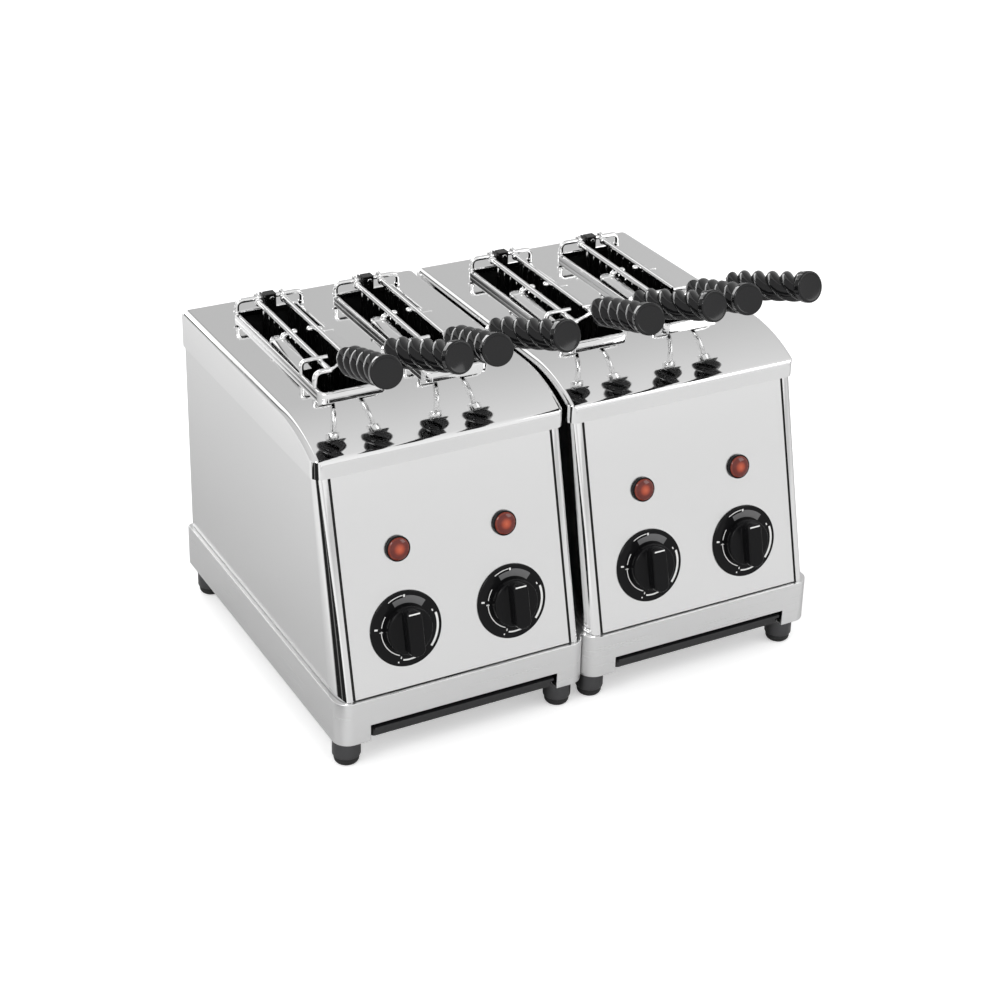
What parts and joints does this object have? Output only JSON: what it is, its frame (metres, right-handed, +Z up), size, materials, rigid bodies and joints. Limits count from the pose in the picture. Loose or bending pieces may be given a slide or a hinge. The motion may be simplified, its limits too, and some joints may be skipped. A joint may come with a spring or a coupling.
{
  "type": "tong toaster",
  "caption": "Countertop toaster of twin stainless cabinets with open slots, timer dials, pilot lamps and lift-out wire tongs with twisted black handles.",
  "frame": {"origin": "middle of the bounding box's base, where the feet stand", "axes": "+X to the right seen from the front, -Y to the front where the dials and handles are, +Z up"},
  "size_m": [0.4316, 0.3394, 0.3489],
  "materials": {
    "polished_steel": "polished",
    "brushed_steel": "brushed",
    "reflector_steel": "dull",
    "chrome_wire": "bright",
    "black_gloss": "gloss",
    "black_plastic": "satin",
    "black_enamel": "satin",
    "rubber": "matt",
    "red_lens": "gloss"
  },
  "bodies": {
    "cabinets": {"left_base_band": "brushed_steel", "left_wrap_wall": "brushed_steel", "left_top_cover": "polished_steel", "left_front_panel": "brushed_steel", "left_cable_gland": "black_plastic", "left_foot_front_left": "rubber", "left_foot_front_right": "rubber", "left_foot_rear_left": "rubber", "left_foot_rear_right": "rubber", "right_base_band": "brushed_steel", "right_wrap_wall": "brushed_steel", "right_top_cover": "polished_steel", "right_front_panel": "brushed_steel", "right_cable_gland": "black_plastic", "right_foot_front_left": "rubber", "right_foot_front_right": "rubber", "right_foot_rear_left": "rubber", "right_foot_rear_right": "rubber", "heater_cage_1": "reflector_steel", "dial_plate_1": "black_gloss", "timer_1": "black_plastic", "pilot_lamp_1": "red_lens", "heater_cage_2": "reflector_steel", "dial_plate_2": "black_gloss", "timer_2": "black_plastic", "pilot_lamp_2": "red_lens", "heater_cage_3": "reflector_steel", "dial_plate_3": "black_gloss", "timer_3": "black_plastic", "pilot_lamp_3": "red_lens", "heater_cage_4": "reflector_steel", "dial_plate_4": "black_gloss", "timer_4": "black_plastic", "pilot_lamp_4": "red_lens"},
    "left_tray": {"left_crumb_tray": "black_enamel"},
    "right_tray": {"right_crumb_tray": "black_enamel"},
    "knob_1": {"timer_knob_1": "black_gloss"},
    "knob_2": {"timer_knob_2": "black_gloss"},
    "knob_3": {"timer_knob_3": "black_gloss"},
    "knob_4": {"timer_knob_4": "black_gloss"},
    "tong_1": {"tong_1_pivot": "chrome_wire"},
    "tong_1_right": {"tong_1_right_jaw": "chrome_wire", "tong_1_right_handle": "black_gloss"},
    "tong_1_left": {"tong_1_left_jaw": "chrome_wire", "tong_1_left_handle": "black_gloss"},
    "tong_2": {"tong_2_pivot": "chrome_wire"},
    "tong_2_right": {"tong_2_right_jaw": "chrome_wire", "tong_2_right_handle": "black_gloss"},
    "tong_2_left": {"tong_2_left_jaw": "chrome_wire", "tong_2_left_handle": "black_gloss"},
    "tong_3": {"tong_3_pivot": "chrome_wire"},
    "tong_3_right": {"tong_3_right_jaw": "chrome_wire", "tong_3_right_handle": "black_gloss"},
    "tong_3_left": {"tong_3_left_jaw": "chrome_wire", "tong_3_left_handle": "black_gloss"},
    "tong_4": {"tong_4_pivot": "chrome_wire"},
    "tong_4_right": {"tong_4_right_jaw": "chrome_wire", "tong_4_right_handle": "black_gloss"},
    "tong_4_left": {"tong_4_left_jaw": "chrome_wire", "tong_4_left_handle": "black_gloss"}
  },
  "joints": [
    {"name": "left_tray_slide", "type": "slide", "parent": "cabinets", "child": "left_tray", "axis": [0, -1, 0], "range_m": [0, 0.25]},
    {"name": "right_tray_slide", "type": "slide", "parent": "cabinets", "child": "right_tray", "axis": [0, -1, 0], "range_m": [0, 0.25]},
    {"name": "timer_1_turn", "type": "hinge", "parent": "cabinets", "child": "knob_1", "pos_m": [-0.1534, -0.14133, 0.10877], "axis": [0, 0.9696, -0.2447], "range_deg": [0, 270]},
    {"name": "timer_2_turn", "type": "hinge", "parent": "cabinets", "child": "knob_2", "pos_m": [-0.0626, -0.14133, 0.10877], "axis": [0, 0.9696, -0.2447], "range_deg": [0, 270]},
    {"name": "timer_3_turn", "type": "hinge", "parent": "cabinets", "child": "knob_3", "pos_m": [0.0626, -0.14133, 0.10877], "axis": [0, 0.9696, -0.2447], "range_deg": [0, 270]},
    {"name": "timer_4_turn", "type": "hinge", "parent": "cabinets", "child": "knob_4", "pos_m": [0.1534, -0.14133, 0.10877], "axis": [0, 0.9696, -0.2447], "range_deg": [0, 270]},
    {"name": "tong_1_lift", "type": "slide", "parent": "cabinets", "child": "tong_1", "axis": [0, 0, 1], "range_m": [0, 0.16]},
    {"name": "tong_1_right_squeeze", "type": "hinge", "parent": "tong_1", "child": "tong_1_right", "pos_m": [-0.141, 0.1186, 0.2815], "axis": [0, 0, -1], "range_deg": [0, 1.4], "stiffness_Nm_per_rad": 12},
    {"name": "tong_1_left_squeeze", "type": "hinge", "parent": "tong_1", "child": "tong_1_left", "pos_m": [-0.163, 0.1186, 0.2815], "axis": [0, 0, 1], "range_deg": [0, 1.4], "stiffness_Nm_per_rad": 12},
    {"name": "tong_2_lift", "type": "slide", "parent": "cabinets", "child": "tong_2", "axis": [0, 0, 1], "range_m": [0, 0.16]},
    {"name": "tong_2_right_squeeze", "type": "hinge", "parent": "tong_2", "child": "tong_2_right", "pos_m": [-0.053, 0.1186, 0.2815], "axis": [0, 0, -1], "range_deg": [0, 1.4], "stiffness_Nm_per_rad": 12},
    {"name": "tong_2_left_squeeze", "type": "hinge", "parent": "tong_2", "child": "tong_2_left", "pos_m": [-0.075, 0.1186, 0.2815], "axis": [0, 0, 1], "range_deg": [0, 1.4], "stiffness_Nm_per_rad": 12},
    {"name": "tong_3_lift", "type": "slide", "parent": "cabinets", "child": "tong_3", "axis": [0, 0, 1], "range_m": [0, 0.16]},
    {"name": "tong_3_right_squeeze", "type": "hinge", "parent": "tong_3", "child": "tong_3_right", "pos_m": [0.075, 0.1186, 0.2815], "axis": [0, 0, -1], "range_deg": [0, 1.4], "stiffness_Nm_per_rad": 12},
    {"name": "tong_3_left_squeeze", "type": "hinge", "parent": "tong_3", "child": "tong_3_left", "pos_m": [0.053, 0.1186, 0.2815], "axis": [0, 0, 1], "range_deg": [0, 1.4], "stiffness_Nm_per_rad": 12},
    {"name": "tong_4_lift", "type": "slide", "parent": "cabinets", "child": "tong_4", "axis": [0, 0, 1], "range_m": [0, 0.16]},
    {"name": "tong_4_right_squeeze", "type": "hinge", "parent": "tong_4", "child": "tong_4_right", "pos_m": [0.163, 0.1186, 0.2815], "axis": [0, 0, -1], "range_deg": [0, 1.4], "stiffness_Nm_per_rad": 12},
    {"name": "tong_4_left_squeeze", "type": "hinge", "parent": "tong_4", "child": "tong_4_left", "pos_m": [0.141, 0.1186, 0.2815], "axis": [0, 0, 1], "range_deg": [0, 1.4], "stiffness_Nm_per_rad": 12}
  ],
  "couplings": [
    {"joint": "tong_1_left_squeeze", "follows": "tong_1_right_squeeze", "ratio": 1},
    {"joint": "tong_2_left_squeeze", "follows": "tong_2_right_squeeze", "ratio": 1},
    {"joint": "tong_3_left_squeeze", "follows": "tong_3_right_squeeze", "ratio": 1},
    {"joint": "tong_4_left_squeeze", "follows": "tong_4_right_squeeze", "ratio": 1}
  ]
}
